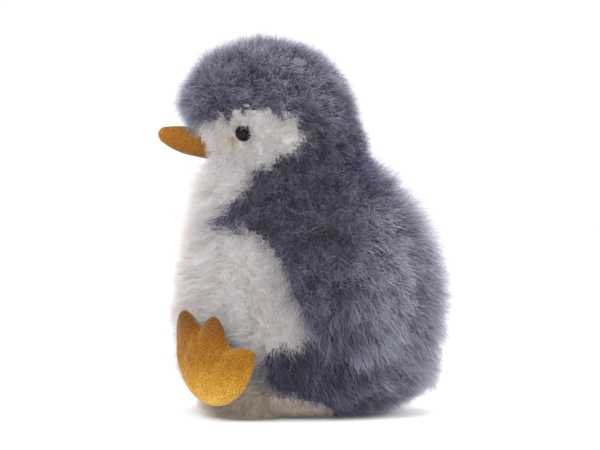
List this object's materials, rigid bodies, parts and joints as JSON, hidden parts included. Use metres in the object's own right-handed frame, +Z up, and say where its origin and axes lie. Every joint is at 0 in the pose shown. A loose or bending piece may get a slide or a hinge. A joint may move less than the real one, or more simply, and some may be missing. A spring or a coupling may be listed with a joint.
{
  "type": "plush toy",
  "caption": "Sitting plush penguin chick in long grey and white fur, with suede beak and toed feet, lifting flippers and flexing feet.",
  "frame": {"origin": "middle of the flat patch that the toy sits on", "axes": "+Z up, +X towards the toy's own left side, -Y is the way it faces"},
  "size_m": [0.1498, 0.1681, 0.22],
  "materials": {
    "grey_fur": "long blue-grey fur pile on a woven backing, darker at the roots and lavender on the crown",
    "white_fur": "soft white fur pile on a woven backing",
    "cream_fur": "cream-white fur pile, pressed flat under the toy",
    "orange_suede": "matt orange suede with a fine nap",
    "fibre_filling": "loose polyester fibre",
    "black_eye": "polished black",
    "white_plastic": "plain moulded"
  },
  "bodies": {
    "stuffed_body": {"back_left": "grey_fur", "back_right": "grey_fur", "base_panel": "cream_fur", "beak_filling": "fibre_filling", "beak_panel_left": "orange_suede", "beak_panel_right": "orange_suede", "belly_left": "white_fur", "belly_right": "white_fur", "crown_left": "grey_fur", "crown_right": "grey_fur", "eye_left": "black_eye", "eye_right": "black_eye", "eye_washer_left": "white_plastic", "eye_washer_right": "white_plastic", "face_left": "white_fur", "face_right": "white_fur", "head_filling": "fibre_filling", "torso_filling": "fibre_filling"},
    "flipper_left": {"flipper_inner_left": "grey_fur", "flipper_outer_left": "grey_fur"},
    "foot_left": {"foot_filling_left": "fibre_filling", "foot_sole_left": "orange_suede", "foot_upper_left": "orange_suede"},
    "flipper_right": {"flipper_inner_right": "grey_fur", "flipper_outer_right": "grey_fur"},
    "foot_right": {"foot_filling_right": "fibre_filling", "foot_sole_right": "orange_suede", "foot_upper_right": "orange_suede"}
  },
  "joints": [
    {"name": "flipper_left_lift", "type": "hinge", "parent": "stuffed_body", "child": "flipper_left", "pos_m": [0.0525, 0.006, 0.121], "axis": [0, -1, 0], "range_deg": [0, 70]},
    {"name": "foot_left_flex", "type": "hinge", "parent": "stuffed_body", "child": "foot_left", "pos_m": [0.04509, -0.05172, 0.017], "axis": [0.5736, 0.8191, 0], "range_deg": [0, 35], "stiffness_Nm_per_rad": 0.05},
    {"name": "flipper_right_lift", "type": "hinge", "parent": "stuffed_body", "child": "flipper_right", "pos_m": [-0.0525, 0.006, 0.121], "axis": [0, 1, 0], "range_deg": [0, 70]},
    {"name": "foot_right_flex", "type": "hinge", "parent": "stuffed_body", "child": "foot_right", "pos_m": [-0.04509, -0.05172, 0.017], "axis": [0.5736, -0.8191, 0], "range_deg": [0, 35], "stiffness_Nm_per_rad": 0.05}
  ]
}
